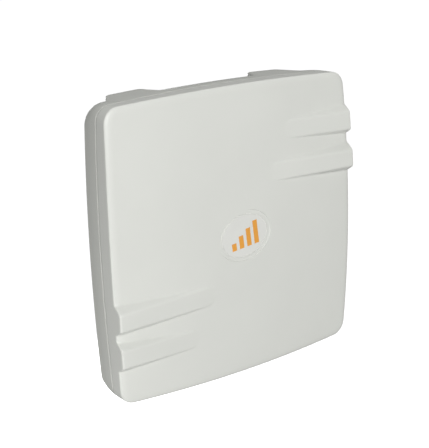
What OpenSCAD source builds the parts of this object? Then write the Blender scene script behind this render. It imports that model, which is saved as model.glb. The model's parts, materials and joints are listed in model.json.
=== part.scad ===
// Square flat-panel antenna with a tilting mast mount.
// Millimetres. The origin lies on the mast's axis at the height of the panel's middle,
// +Z runs up the mast and the domed front of the panel faces -Y.

/* [Panel] */
// Width and height of the panel, across the middles of its sides
panel_size = 270; // [250:1:290]
// How far each side bows outwards between its corners
side_bow = 4.5; // [3:0.5:6]
// Radius of the front cover's four corners, seen from the front
cover_corner_r = 14; // [13:0.5:18]
// Radius of the rear housing's four corners
housing_corner_r = 18; // [14:0.5:18]
// Radius of the domed front
dome_r = 2000; // [1800:50:3000]
// Width of the softened edge between the front and the skirt
edge_w = 2; // [1:0.5:4]
// Wall thickness of both shells
wall = 3; // [2.6:0.1:3.4]
// Depth of the seam behind the front's highest point
seam_y = 22; // [20:0.1:23]
// Depth of the flat back behind the front's highest point
back_y = 44; // [40:0.5:45]
// Step from the cover's skirt in to the rear housing
seam_step = 1; // [0.5:0.1:2]

/* [Front ribs] */
// Height of a rib above the dome where it meets the side
rib_rise = 8; // [3:0.5:9]
// Width of the bevel along each rib
rib_bevel = 5; // [2:0.5:6]

/* [Rear rails] */
// Distance from the middle to a rail's inner foot
rail_foot_in = 53; // [50:1:56]
// Distance from the middle to a rail's outer foot
rail_foot_out = 108; // [104:1:109]
// Depth of the rails' rear face
rail_y = 65; // [58:1:66]
// How far a rail's inner side leans in
rail_lean_in = 7; // [3:1:10]
// How far a rail's outer side leans in
rail_lean_out = 13; // [6:1:16]

/* [Badge] */
// Width of the oval badge
badge_w = 53; // [40:1:54]
// Height of the oval badge
badge_h = 40; // [34:1:42]
// Width of the rim between the badge and the edge of its recess
badge_rim = 3.4; // [1:0.1:4]
// Offset of the badge to the side
badge_x = 2.5; // [-10:0.5:10]
// Offset of the badge upwards
badge_z = -1.5; // [-10:0.5:10]
// How far the badge is turned anticlockwise
badge_turn = 6; // [0:1:15]

/* [Radiator] */
// Width of the aluminium reflector
reflector_size = 230; // [226:1:230]
// Width of the circuit board
board_size = 200; // [180:1:206]
// Width of one square patch
patch_size = 54; // [50:1:58]
// Distance between patch centres
patch_pitch = 100; // [90:1:110]
// Air gap between the reflector and the board
air_gap = 6.4; // [5:0.1:7]

/* [Cable socket] */
// Distance of the socket below the panel's middle
socket_drop = 95; // [90:1:98]
// Radius of the socket's coupling thread
thread_r = 7.94; // [7.5:0.01:8]

/* [Mast mount] */
// Outer diameter of the mast
mast_d = 50.8; // [48:0.1:52]
// Distance from the mast's axis to the tilt axis
mast_to_pivot = 70; // [68:1:74]
// Tilt each way
tilt_range = 20; // [10:1:20]
// Thickness of the folded steel brackets
plate = 3; // [2.5:0.5:3]
// Diameter of the U-bolt's rod
rod_d = 8; // [8:0.5:8]
// How far the U-bolt slides back when it is slackened
clamp_travel = 12; // [6:1:12]

/* [Hidden] */
$fn = 64;

// Small overlap that joins or cuts cleanly
eps = 0.1;
// How far a cutter reaches past the surface that it cuts
past = 1;
// Play between parts that turn or slide on each other
play = 0.05;
// Play around a screw in a plain hole
hole_play = 0.2;

// Outline
half = panel_size / 2;
side_r = half * half / (2 * side_bow);
housing_corner_in = housing_corner_r - wall;

// Seam: the housing's lip stands inside the skirt and presses the gasket on a ledge
lip_in = wall + 0.2;
lip_w = 2.6;
lip_y = seam_y - 5;
lip_root_y = seam_y + 3.6;
gasket_t = 2;
ledge_y = lip_y - gasket_t;
ledge_in = lip_in + lip_w + 0.4;
floor_y = back_y - wall;
rail_chamfer = 2.5;

// Badge: a film disc in a flat-bottomed recess, with four printed bars of rising height
recess_y = 0.9;
film_t = 0.45;
ink_t = 0.15;
bar_w = 5;
bar_pitch = 8.5;
bar_low = -11;
bar_first = 7;
bar_step = 5;

// Ribs: [tip x, tip z, tip width, end z, end width]
ribs = [
    [55, 87.5, 16, 86, 28],
    [37, 51, 16, 50, 28],
    [-34, -50, 17, -50, 28],
    [-53, -87, 16, -84, 28]
];

// Cover screws, driven from behind
screw_x = half - 14;
screw_z = [-112, -40, 40, 112];
screw_end_z = half - 15;
screw_r = 1.75;
screw_head_r = 3.8;
screw_head_t = 2.4;
screw_tip_y = 11;
tower_r = 4.6;

// Radiator stack, from the front
copper_t = 0.2;
board_t = 1.6;
board_y = 14.2;
reflector_y = board_y + board_t + air_gap;
reflector_t = 1.5;
pillar_x = 111.5;
pillar_z = [-75, 0, 75];
pillar_r = 3;
pillar_hole_r = 1.25;
small_head_r = 2.8;
small_head_t = 1.8;
spacer_at = 85;
spacer_r = 4;
nylon_screw_r = 1.5;
feed_w = 3;
coax_r = 1.8;
coax_bend = 6;
coax_y = reflector_y + reflector_t + 4.3;
pin_r = 0.5;

// Cable socket
socket_hole_r = 8.1;
shank_r = 8;
oring_t = 1;
flange_y = back_y + oring_t;
flange_t = 3;
socket_end_y = flange_y + flange_t + 11;
socket_in_y = coax_y + coax_bend;
bore_r = 4.6;
bore_depth = 9;
insulator_r = 3.4;
contact_r = 1.5;
contact_bore_r = 0.85;
contact_bore_depth = 6;
contact_sink = 3;
lock_washer_t = 0.8;
lock_washer_r = 11;
socket_nut_t = 3;
socket_af = 20;

// Panel bracket, folded from one plate
bracket_w = 47;
bracket_h = 124;
bracket_y = back_y + plate;
bend_r = 4;
bracket_screw_x = 14;
bracket_screw_z = 48;
m6_r = 3;
insert_r = 4.2;
insert_len = 8;
boss_r = 7.5;
m6_head_r = 5.5;
m6_head_t = 3.8;
key_af = 4;
key_depth = 2.4;
ear_past_pivot = 16;
ear_low = 15;
ear_past_lock = 9;

// Tilt joint
pivot_y = 65;
mast_to_front = mast_to_pivot + pivot_y;
m8_r = 4;
lock_at = 26;
slot_half = tilt_range + 1;
slot_r = m6_r + 0.3;
ear_gap = 0.5;
mast_ear_out = bracket_w / 2 - plate - ear_gap;
washer_t = 1.6;
stack_x = bracket_w / 2 + 0.1;
m8_washer_r = 8;
m6_washer_r = 6.2;
m8_af = 13;
m8_head_t = 5.3;
m8_nut_t = 6.5;
m6_af = 10;
m6_nut_t = 5;
bolt_end = 3;
m6_hex_t = 4;
mast_ear_low_r = 13;
mast_ear_top_r = 8;

// Mast clamp, in the row's own frame
mast_r = mast_d / 2;
rod_r = rod_d / 2;
u_r = mast_r + rod_r + 0.2;
web_back = -33;
web_front = web_back - plate;
web_w = 84;
web_h = 52;
saddle_w = 76;
saddle_h = 50;
saddle_lip = -12;
saddle_r = 4;
relief_h = 10;
relief_depth = 1.5;
rod_hole_r = rod_r + 0.5;
spring_t = 2;
spring_r = 6.8;
leg_end = web_front - washer_t - spring_t - m8_nut_t - clamp_travel - 2;

// ---------- helpers ----------

// Arc of points about a centre on the diagonal or on an axis
function arc(cx, cz, r, a0, a1, n) =
    [for (i = [0:n]) let (a = a0 + (a1 - a0) * i / n) [cx + r * cos(a), cz + r * sin(a)]];

function turned(points, a) =
    [for (p = points) [p[0] * cos(a) - p[1] * sin(a), p[0] * sin(a) + p[1] * cos(a)]];

// Centre of a corner arc of radius rc that is tangent to both neighbouring side arcs
function corner_at(inset, rc) =
    let (k = side_r - half, q = side_r - inset - rc) (sqrt(2 * q * q - k * k) - k) / 2;

// Bowed square, pulled in by inset: one side arc and one corner arc, four times round
function bowed_square(inset, rc) =
    let (
        k = side_r - half,
        c = corner_at(inset, rc),
        a = atan2(c, c + k),
        side = arc(-k, 0, side_r - inset, -a, a, 10),
        corner = arc(c, c, rc, a, 90 - a, 8)
    )
    [for (t = [0:3]) for (p = turned(concat(side, [for (i = [1:7]) corner[i]]), 90 * t)) p];

// Everything fixed to the panel is laid out from the front's highest point
module on_panel() {
    translate([0, -mast_to_front, 0]) children();
}

// A flat shape in X and Z, thickened from y0 back to y1
module slab(y0, y1) {
    translate([0, y1, 0]) rotate([90, 0, 0]) linear_extrude(y1 - y0) children();
}

module prism(inset, rc, y0, y1) {
    slab(y0, y1) polygon(bowed_square(inset, rc));
}

module rod_y(r, y0, y1) {
    translate([0, y0, 0]) rotate([-90, 0, 0]) cylinder(r = r, h = y1 - y0);
}

module rod_x(r, x0, x1) {
    translate([x0, 0, 0]) rotate([0, 90, 0]) cylinder(r = r, h = x1 - x0);
}

module hex_x(af, x0, x1) {
    translate([x0, 0, 0]) rotate([0, 90, 0]) cylinder(r = af / sqrt(3), h = x1 - x0, $fn = 6);
}

module hex_y(af, y0, y1) {
    translate([0, y0, 0]) rotate([-90, 0, 0]) cylinder(r = af / sqrt(3), h = y1 - y0, $fn = 6);
}

module ring_y(r_in, r_out, y0, y1) {
    difference() {
        rod_y(r_out, y0, y1);
        rod_y(r_in, y0 - eps, y1 + eps);
    }
}

module ring_x(r_in, r_out, x0, x1) {
    difference() {
        rod_x(r_out, x0, x1);
        rod_x(r_in, x0 - eps, x1 + eps);
    }
}

module on_both_sides() {
    for (s = [-1, 1]) translate([s * u_r, 0, 0]) children();
}

// All that lies behind a dome whose highest point is at depth y0
module behind_dome(y0) {
    reach = panel_size * 0.75;
    n = 12;
    curve = [for (i = [0:n]) let (r = reach * i / n) [r, dome_r - sqrt(dome_r * dome_r - r * r)]];
    translate([0, y0, 0]) rotate([-90, 0, 0])
        rotate_extrude($fn = 120)
            polygon(concat(curve, [[reach, back_y], [0, back_y]]));
}

// The badge's oval, drawn about its own middle
module oval(w, h) {
    polygon([for (i = [0:$fn - 1]) [w / 2 * cos(360 * i / $fn), h / 2 * sin(360 * i / $fn)]]);
}

module at_badge() {
    translate([badge_x, 0, badge_z]) rotate([0, -badge_turn, 0]) children();
}

function dome_y(x, z) = dome_r - sqrt(dome_r * dome_r - x * x - z * z);

// Section across the panel whose two front corners are taken off in two facets
module soft_section() {
    at = half - edge_w;
    high = dome_y(at, 0);
    polygon([
        [-half, seam_y], [-half, high + edge_w], [-half + edge_w * 0.3, high + edge_w * 0.35],
        [-at, high], [-at, -past], [at, -past], [at, high],
        [half - edge_w * 0.3, high + edge_w * 0.35], [half, high + edge_w], [half, seam_y]
    ]);
}

// Softens the four long edges between the front and the skirt
module soft_edges() {
    intersection() {
        translate([0, 0, -half]) linear_extrude(panel_size) soft_section();
        rotate([0, 90, 0]) translate([0, 0, -half]) linear_extrude(panel_size) soft_section();
    }
}

module at_cover_screws() {
    for (x = [-screw_x, screw_x]) for (z = screw_z) translate([x, 0, z]) children();
    for (z = [-screw_end_z, screw_end_z]) translate([0, 0, z]) children();
}

module at_pillars() {
    for (x = [-pillar_x, pillar_x]) for (z = pillar_z) translate([x, 0, z]) children();
}

module at_spacers() {
    for (i = [-1:1]) for (j = [-1:1]) if (i != 0 || j != 0)
        translate([spacer_at * i, 0, spacer_at * j]) children();
}

module at_bracket_screws() {
    for (x = [-bracket_screw_x, bracket_screw_x]) for (z = [-bracket_screw_z, bracket_screw_z])
        translate([x, 0, z]) children();
}

// ---------- housing ----------

// A wedge that rises out of the dome towards the side, bevelled along both edges
module rib(r) {
    side = sign(r[0]);
    end_x = side * half;
    tip_y = dome_y(r[0], r[1]);
    end_y = dome_y(half, r[3]) - rib_rise;
    foot_y = seam_y - eps;
    intersection() {
        slab(end_y - eps, foot_y)
            polygon([
                [r[0], r[1] - r[2] / 2], [r[0], r[1] + r[2] / 2],
                [end_x, r[3] + r[4] / 2], [end_x, r[3] - r[4] / 2]
            ]);
        translate([0, 0, -half]) linear_extrude(panel_size)
            polygon([
                [r[0], tip_y], [end_x - side * edge_w, end_y], [end_x, end_y + edge_w],
                [end_x, foot_y], [r[0], foot_y]
            ]);
        rotate([90, 0, 90]) translate([0, 0, -half]) linear_extrude(panel_size)
            polygon([
                [end_y, r[3] - r[4] / 2 + rib_bevel], [end_y, r[3] + r[4] / 2 - rib_bevel],
                [end_y + rib_rise, r[3] + r[4] / 2], [foot_y, r[3] + r[4] / 2],
                [foot_y, r[3] - r[4] / 2], [end_y + rib_rise, r[3] - r[4] / 2]
            ]);
        prism(0, cover_corner_r, end_y - eps, seam_y);
    }
}

module front_cover() {
    color("#dcddd6") on_panel() {
        difference() {
            union() {
                intersection() {
                    behind_dome(0);
                    prism(0, cover_corner_r, -eps, seam_y);
                    soft_edges();
                }
                for (r = ribs) rib(r);
            }
            intersection() {
                behind_dome(wall);
                prism(ledge_in, cover_corner_r / 2, 0, seam_y + eps);
            }
            prism(wall, cover_corner_r - wall, ledge_y, seam_y + eps);
            at_badge() slab(-past, recess_y) oval(badge_w + 2 * badge_rim, badge_h + 2 * badge_rim);
        }
        intersection() {
            behind_dome(wall / 2);
            at_cover_screws() difference() {
                rod_y(tower_r, 0, seam_y);
                rod_y(screw_r + play, screw_tip_y - past, seam_y + eps);
            }
        }
    }
}

// Solid rail of the trapezoid section that ends flush with the housing's sides, or its hollow
module rail(grow) {
    c = rail_chamfer;
    foot_in = rail_foot_in - grow;
    foot_out = rail_foot_out + grow;
    top_in = foot_in + rail_lean_in;
    top_out = foot_out - rail_lean_out;
    rear = rail_y + grow;
    intersection() {
        translate([0, 0, -half]) linear_extrude(panel_size)
            polygon([
                [foot_in, floor_y - eps], [foot_in, back_y], [top_in - c / 4, rear - c],
                [top_in + c, rear], [top_out - c, rear], [top_out + c / 2, rear - c],
                [foot_out, back_y], [foot_out, floor_y - eps]
            ]);
        prism(seam_step - grow, housing_corner_r + grow, floor_y - past, rear + past);
    }
}

module rear_housing() {
    color("#b5b6ae") on_panel() difference() {
        union() {
            difference() {
                union() {
                    prism(seam_step, housing_corner_r, seam_y, back_y);
                    prism(lip_in, cover_corner_r - lip_in, lip_y, lip_root_y);
                    for (s = [0, 1]) mirror([s, 0, 0]) rail(0);
                }
                prism(seam_step + wall, housing_corner_in, lip_root_y, floor_y);
                prism(lip_in + lip_w, cover_corner_r - lip_in - lip_w, lip_y - eps, lip_root_y + eps);
                for (s = [0, 1]) mirror([s, 0, 0]) rail(-wall);
            }
            at_cover_screws() rod_y(tower_r, seam_y, back_y - eps);
            at_pillars() rod_y(pillar_r, reflector_y + reflector_t, back_y - eps);
            at_bracket_screws() rod_y(boss_r, back_y - insert_len - wall, back_y - eps);
        }
        at_cover_screws() {
            rod_y(screw_r + hole_play, lip_y, back_y);
            rod_y(screw_head_r + hole_play, back_y - screw_head_t, back_y + eps);
        }
        at_pillars() rod_y(pillar_hole_r, 0, floor_y - wall);
        at_bracket_screws() rod_y(insert_r, back_y - insert_len, back_y + eps);
        translate([0, 0, -socket_drop]) rod_y(socket_hole_r, lip_y, back_y + eps);
    }
}

module cover_gasket() {
    color("#2c2d2e") on_panel() difference() {
        prism(lip_in, cover_corner_r - lip_in, ledge_y, lip_y);
        prism(lip_in + lip_w, cover_corner_r - lip_in - lip_w, ledge_y - eps, lip_y + eps);
    }
}

module cover_screws() {
    color("#b9bcbf") on_panel() at_cover_screws() difference() {
        union() {
            rod_y(screw_r, screw_tip_y, back_y - screw_head_t);
            rod_y(screw_head_r, back_y - screw_head_t, back_y - eps);
        }
        slot_w = 1;
        for (a = [0, 90]) rotate([0, a, 0])
            translate([-screw_head_r * 0.6, back_y - 1.4, -slot_w / 2]) cube([screw_head_r * 1.2, 2, slot_w]);
    }
}

module badge_disc() {
    color("#f0f0ee") on_panel() at_badge() slab(recess_y - film_t, recess_y) oval(badge_w, badge_h);
}

module badge_emblem() {
    film_y = recess_y - film_t;
    color("#f08a1e") on_panel() at_badge() slab(film_y - ink_t, film_y)
        for (i = [0:3]) translate([(i - 1.5) * bar_pitch - bar_w / 2, bar_low])
            square([bar_w, bar_first + bar_step * i]);
}

// ---------- radiator ----------

module reflector_plate() {
    color("#c9ccd0") on_panel() difference() {
        translate([-reflector_size / 2, reflector_y, -reflector_size / 2])
            cube([reflector_size, reflector_t, reflector_size]);
        at_pillars() rod_y(pillar_hole_r + hole_play, reflector_y - eps, reflector_y + reflector_t + eps);
        at_spacers() rod_y(nylon_screw_r + play, reflector_y - eps, reflector_y + reflector_t + eps);
        rod_y(coax_r + 1, reflector_y - eps, reflector_y + reflector_t + eps);
    }
}

module reflector_screws() {
    color("#b9bcbf") on_panel() at_pillars() {
        rod_y(pillar_hole_r - play, reflector_y, floor_y - wall - past);
        rod_y(small_head_r, reflector_y - small_head_t, reflector_y);
    }
}

module patch_board() {
    color("#3f6b4a") on_panel() difference() {
        translate([-board_size / 2, board_y, -board_size / 2]) cube([board_size, board_t, board_size]);
        at_spacers() rod_y(nylon_screw_r + hole_play, board_y - eps, board_y + board_t + eps);
        rod_y(pin_r + 0.1, board_y - eps, board_y + board_t + eps);
    }
}

module patch_elements() {
    color("#c87f3f") on_panel() slab(board_y - copper_t, board_y)
        for (x = [-1, 1]) for (z = [-1, 1])
            translate([x * patch_pitch / 2, z * patch_pitch / 2]) square(patch_size, center = true);
}

// One trunk up the middle and four arms out to the patches
module feed_network() {
    arm = patch_pitch - patch_size;
    color("#c87f3f") on_panel() difference() {
        slab(board_y - copper_t, board_y) {
            square([feed_w, patch_pitch + feed_w], center = true);
            for (z = [-1, 1]) translate([0, z * patch_pitch / 2]) square([arm, feed_w], center = true);
        }
        rod_y(pin_r + 0.1, board_y - past, board_y + eps);
    }
}

module board_spacers() {
    color("#e9e6dc") on_panel() at_spacers()
        ring_y(nylon_screw_r + hole_play, spacer_r, board_y + board_t, reflector_y);
}

module board_screws() {
    color("#e9e6dc") on_panel() at_spacers() {
        rod_y(nylon_screw_r, board_y, reflector_y + reflector_t + 1);
        rod_y(small_head_r, board_y - small_head_t, board_y);
    }
}

// Semi-rigid coax: up the back of the reflector from the socket, then forward to the board
module coax_pigtail() {
    z_low = -socket_drop;
    color("#b7793e") on_panel() {
        translate([0, coax_y, z_low + coax_bend]) cylinder(r = coax_r, h = socket_drop - 2 * coax_bend);
        translate([0, coax_y + coax_bend, z_low + coax_bend]) rotate([0, 90, 0]) rotate([0, 0, -90])
            rotate_extrude(angle = 90) translate([coax_bend, 0]) circle(r = coax_r);
        translate([0, coax_y - coax_bend, -coax_bend]) rotate([0, 90, 0]) rotate([0, 0, 90])
            rotate_extrude(angle = 90) translate([coax_bend, 0]) circle(r = coax_r);
        rod_y(coax_r, board_y + board_t, coax_y - coax_bend);
        rod_y(pin_r, board_y - copper_t - 0.4, board_y + board_t);
    }
}

// ---------- cable socket ----------

module at_socket() {
    on_panel() translate([0, 0, -socket_drop]) children();
}

module socket_body() {
    color("#c4c6c8") at_socket() difference() {
        union() {
            rod_y(shank_r, socket_in_y + 1, flange_y + eps);
            hex_y(socket_af, flange_y, flange_y + flange_t);
            rod_y(thread_r, flange_y + flange_t, socket_end_y);
        }
        rod_y(bore_r, socket_end_y - bore_depth, socket_end_y + eps);
        rod_y(insulator_r, socket_in_y, socket_end_y);
    }
}

module socket_insulator() {
    color("#f2f2f0") at_socket()
        ring_y(contact_r, insulator_r, socket_in_y + 1, socket_end_y - bore_depth);
}

module socket_contact() {
    color("#d9b04c") at_socket() difference() {
        rod_y(contact_r, socket_in_y, socket_end_y - contact_sink);
        rod_y(contact_bore_r, socket_end_y - contact_sink - contact_bore_depth, socket_end_y);
    }
}

module socket_oring() {
    color("#222324") at_socket() ring_y(shank_r, socket_af / 2, back_y, flange_y);
}

module socket_lock_washer() {
    color("#b0b3b6") at_socket()
        ring_y(shank_r + hole_play, lock_washer_r, floor_y - lock_washer_t, floor_y);
}

module socket_nut() {
    low = floor_y - lock_washer_t - socket_nut_t;
    color("#c4c6c8") at_socket() difference() {
        hex_y(socket_af, low, floor_y - lock_washer_t);
        rod_y(shank_r + play, low - eps, floor_y);
    }
}

// ---------- panel bracket ----------

module bracket_inserts() {
    color("#c9a54a") on_panel() at_bracket_screws()
        ring_y(m6_r + play, insert_r, back_y - insert_len, back_y);
}

// U section folded from one plate: the base lies against -Y, the ears point to +Y
module u_section(w, depth) {
    difference() {
        union() {
            translate([-w / 2 + bend_r, 0]) square([w - 2 * bend_r, depth]);
            translate([-w / 2, bend_r]) square([w, depth - bend_r]);
            for (s = [-1, 1]) translate([s * (w / 2 - bend_r), bend_r]) circle(r = bend_r);
        }
        translate([-w / 2 + plate, plate]) square([w - 2 * plate, depth]);
    }
}

module panel_bracket() {
    ear_back = pivot_y - back_y + ear_past_pivot;
    ear_top = lock_at + ear_past_lock;
    color("#a9adb0") on_panel() difference() {
        translate([0, back_y, 0]) intersection() {
            translate([0, 0, -bracket_h / 2]) linear_extrude(bracket_h) u_section(bracket_w, ear_back);
            rotate([90, 0, 90]) translate([0, 0, -bracket_w]) linear_extrude(2 * bracket_w)
                union() {
                    translate([0, -bracket_h / 2]) square([plate, bracket_h]);
                    polygon([
                        [0, -ear_low - 16], [bend_r, -ear_low - 12], [pivot_y - back_y, -ear_low],
                        [ear_back - 3, 6], [ear_back, 12], [ear_back, ear_top - 5],
                        [ear_back - 5, ear_top], [bend_r + 4, ear_top], [0, ear_top + 8]
                    ]);
                    translate([pivot_y - back_y, 0]) circle(r = ear_low);
                }
        }
        translate([0, pivot_y, 0]) {
            rod_x(m8_r + play, -bracket_w, bracket_w);
            rotate([0, 90, 0]) translate([0, 0, -bracket_w]) rotate([0, 0, 180 - slot_half])
                rotate_extrude(angle = 2 * slot_half, $fn = 128)
                    translate([lock_at - slot_r, 0]) square([2 * slot_r, 2 * bracket_w]);
            for (a = [-slot_half, slot_half]) rotate([a, 0, 0])
                translate([0, 0, lock_at]) rod_x(slot_r, -bracket_w, bracket_w);
        }
        at_bracket_screws() rod_y(m6_r + hole_play, back_y - eps, bracket_y + eps);
    }
}

module bracket_screws() {
    tip = back_y - insert_len + 1;
    color("#b9bcbf") on_panel() at_bracket_screws() difference() {
        union() {
            rod_y(m6_r, tip, bracket_y + washer_t);
            rod_y(m6_head_r, bracket_y + washer_t, bracket_y + washer_t + m6_head_t);
        }
        hex_y(key_af, bracket_y + washer_t + m6_head_t - key_depth, bracket_y + washer_t + m6_head_t + eps);
    }
}

module bracket_washers() {
    color("#aeb2b5") on_panel() at_bracket_screws()
        ring_y(m6_r + hole_play, m6_washer_r, bracket_y, bracket_y + washer_t);
}

// ---------- mast mount ----------

// Side view of one ear: the two bolt holes' rounds joined to the web
module mast_ear_2d() {
    web_at = mast_to_pivot + web_front + eps;
    low_r = mast_ear_low_r;
    top_r = mast_ear_top_r;
    circle(r = low_r);
    translate([0, lock_at]) circle(r = top_r);
    translate([0, -low_r]) square([web_at, 2 * low_r]);
    polygon([
        [-top_r, 0], [-top_r, lock_at], [top_r * 0.7, lock_at + top_r * 0.7],
        [web_at, web_h / 2 - 4], [web_at, 0]
    ]);
}

module mast_bracket() {
    color("#a2a6a9") difference() {
        union() {
            translate([-web_w / 2, web_front, -web_h / 2]) cube([web_w, plate, web_h]);
            for (s = [-1, 1]) translate([s * (mast_ear_out - plate / 2) - plate / 2, -mast_to_pivot, 0])
                rotate([90, 0, 90]) linear_extrude(plate) mast_ear_2d();
        }
        translate([0, -mast_to_pivot, 0]) {
            rod_x(m8_r + play, -web_w, web_w);
            translate([0, 0, lock_at]) rod_x(m6_r + play, -web_w, web_w);
        }
        on_both_sides() rod_y(rod_hole_r, web_front - eps, web_back + eps);
    }
}

module at_pivot() {
    translate([0, -mast_to_pivot, 0]) children();
}

module at_lock() {
    translate([0, -mast_to_pivot, lock_at]) children();
}

// A hex bolt across both pairs of ears, its head on the -X side
module cross_bolt(r, af, head_t, nut_t) {
    rod_x(r, -stack_x - washer_t, stack_x + washer_t + nut_t + bolt_end);
    hex_x(af, -stack_x - washer_t - head_t, -stack_x - washer_t);
}

module cross_nut(r, af, nut_t) {
    difference() {
        hex_x(af, stack_x + washer_t, stack_x + washer_t + nut_t);
        rod_x(r + play, stack_x, stack_x + washer_t + nut_t + past);
    }
}

module cross_washers(r, r_out) {
    for (s = [0, 1]) mirror([s, 0, 0]) ring_x(r + hole_play, r_out, stack_x, stack_x + washer_t);
}

module pivot_bolt() {
    color("#b9bcbf") at_pivot() cross_bolt(m8_r, m8_af, m8_head_t, m8_nut_t);
}

module pivot_nut() {
    color("#c2c5c8") at_pivot() cross_nut(m8_r, m8_af, m8_nut_t);
}

module pivot_washers() {
    color("#aeb2b5") at_pivot() cross_washers(m8_r, m8_washer_r);
}

module lock_bolt() {
    color("#b9bcbf") at_lock() cross_bolt(m6_r, m6_af, m6_hex_t, m6_nut_t);
}

module lock_nut() {
    color("#c2c5c8") at_lock() cross_nut(m6_r, m6_af, m6_nut_t);
}

module lock_washers() {
    color("#aeb2b5") at_lock() cross_washers(m6_r, m6_washer_r);
}

// Half-round jaw between the web and the mast, relieved across the middle of its face
module mast_saddle() {
    color("#9a9da0") difference() {
        translate([0, 0, -saddle_h / 2]) linear_extrude(saddle_h) {
            translate([-saddle_w / 2, web_back]) square([saddle_w, saddle_lip - web_back - saddle_r]);
            translate([-saddle_w / 2 + saddle_r, web_back])
                square([saddle_w - 2 * saddle_r, saddle_lip - web_back]);
            for (s = [-1, 1])
                translate([s * (saddle_w / 2 - saddle_r), saddle_lip - saddle_r]) circle(r = saddle_r);
        }
        translate([0, 0, -saddle_h]) cylinder(r = mast_r, h = 2 * saddle_h, $fn = 128);
        translate([0, 0, -relief_h / 2]) cylinder(r = mast_r + relief_depth, h = relief_h, $fn = 128);
        on_both_sides() rod_y(rod_hole_r, web_back - eps, saddle_lip + eps);
    }
}

module u_bolt() {
    color("#b9bcbf") {
        rotate_extrude(angle = 180, $fn = 128) translate([u_r, 0]) circle(r = rod_r);
        on_both_sides() rod_y(rod_r, leg_end, 0);
    }
}

module u_bolt_nuts() {
    high = web_front - washer_t - spring_t;
    color("#c2c5c8") on_both_sides() difference() {
        hex_y(m8_af, high - m8_nut_t, high);
        rod_y(rod_r + play, high - m8_nut_t - eps, high + eps);
    }
}

module u_bolt_spring_washers() {
    high = web_front - washer_t;
    color("#8f9396") on_both_sides() ring_y(rod_r + hole_play, spring_r, high - spring_t, high);
}

module u_bolt_washers() {
    color("#aeb2b5") on_both_sides()
        ring_y(rod_r + hole_play, m8_washer_r, web_front - washer_t, web_front);
}

front_cover();
rear_housing();
cover_gasket();
cover_screws();
badge_disc();
badge_emblem();
reflector_plate();
reflector_screws();
patch_board();
patch_elements();
feed_network();
board_spacers();
board_screws();
coax_pigtail();
socket_body();
socket_insulator();
socket_contact();
socket_oring();
socket_lock_washer();
socket_nut();
bracket_inserts();
panel_bracket();
bracket_screws();
bracket_washers();
mast_bracket();
pivot_bolt();
pivot_nut();
pivot_washers();
lock_bolt();
lock_nut();
lock_washers();
mast_saddle();
u_bolt();
u_bolt_nuts();
u_bolt_spring_washers();
u_bolt_washers();
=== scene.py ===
"""Square flat-panel antenna: its shells, badge and hardware as smooth meshes, with procedural materials.

Everything is in metres in the row frame: the origin is on the mast's axis, +Z runs up the mast,
and the domed front faces -Y. A depth is a y, from FRONT at the top of the dome back to RAIL_BACK.
"""

import json
import math

import bmesh
import bpy
import numpy as np
from mathutils import Matrix, Vector


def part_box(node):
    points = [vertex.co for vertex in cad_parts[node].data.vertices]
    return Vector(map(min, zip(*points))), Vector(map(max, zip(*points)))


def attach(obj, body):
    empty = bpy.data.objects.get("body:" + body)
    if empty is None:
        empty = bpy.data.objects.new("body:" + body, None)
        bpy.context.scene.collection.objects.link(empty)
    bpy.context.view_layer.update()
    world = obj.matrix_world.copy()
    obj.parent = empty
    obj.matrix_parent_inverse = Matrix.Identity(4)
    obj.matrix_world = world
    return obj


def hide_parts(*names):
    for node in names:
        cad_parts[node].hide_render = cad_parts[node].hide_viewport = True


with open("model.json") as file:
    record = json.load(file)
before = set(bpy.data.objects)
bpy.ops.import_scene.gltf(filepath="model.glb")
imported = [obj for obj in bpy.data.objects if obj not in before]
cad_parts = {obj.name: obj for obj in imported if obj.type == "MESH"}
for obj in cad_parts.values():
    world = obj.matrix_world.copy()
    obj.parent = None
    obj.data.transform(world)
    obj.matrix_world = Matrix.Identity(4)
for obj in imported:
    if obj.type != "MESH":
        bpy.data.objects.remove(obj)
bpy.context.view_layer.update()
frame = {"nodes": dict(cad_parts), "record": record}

MM = 0.001
# Turns that lay a turned solid's own Z axis along x or y
AXES = {"x": Matrix.Rotation(math.pi / 2, 3, "Y"), "y": Matrix.Rotation(-math.pi / 2, 3, "X")}

# ---------- sizes ----------

COVER_DEPTH = 22 * MM
FRONT_TO_BACK = 44 * MM
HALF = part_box("front_cover")[1].x
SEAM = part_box("front_cover")[1].y
FRONT = SEAM - COVER_DEPTH
BACK = FRONT + FRONT_TO_BACK
RAIL_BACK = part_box("rear_housing")[1].y

SIDE_BOW = 4.5 * MM
SIDE_R = HALF * HALF / (2 * SIDE_BOW)
DOME_R = 2.0
WALL = 3 * MM

COVER_CORNER_R = 14 * MM
COVER_EDGE_W = 6.5 * MM
COVER_EDGE_DEPTH = 2.0 * MM
SEAM_EDGE_R = 0.4 * MM
LEDGE = SEAM - 7 * MM
LEDGE_INSET = 6.2 * MM

HOUSING_DRAFT = 1.2 * MM
HOUSING_CORNER_R = 14.5 * MM
HOUSING_REAR_CORNER_R = 19.5 * MM
HOUSING_EDGE_R = 2 * MM
HOUSING_CHAMFER = 1.1 * MM
LIP_INSET = 3.2 * MM
LIP_W = 2.6 * MM
LIP_FRONT = SEAM - 5 * MM
LIP_BACK = SEAM + 3.6 * MM

RAIL_FOOT_IN = 53 * MM
RAIL_FOOT_OUT = 108 * MM
RAIL_LEAN_IN = 7 * MM
RAIL_LEAN_OUT = 13 * MM
RAIL_FOOT_R = 1.5 * MM
RAIL_EDGE_R = 5.5 * MM

COVER_SCREW_X = 121 * MM
COVER_SCREW_ZS = (-112 * MM, -40 * MM, 40 * MM, 112 * MM)
COVER_SCREW_END_Z = 120 * MM
COUNTERBORE_R = 4 * MM
COUNTERBORE_DEPTH = 2.4 * MM
BRACKET_SCREW_X = 14 * MM
BRACKET_SCREW_Z = 48 * MM
INSERT_HOLE_R = 4.2 * MM
SOCKET_Z = -95 * MM
SOCKET_HOLE_R = 8.1 * MM

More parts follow.
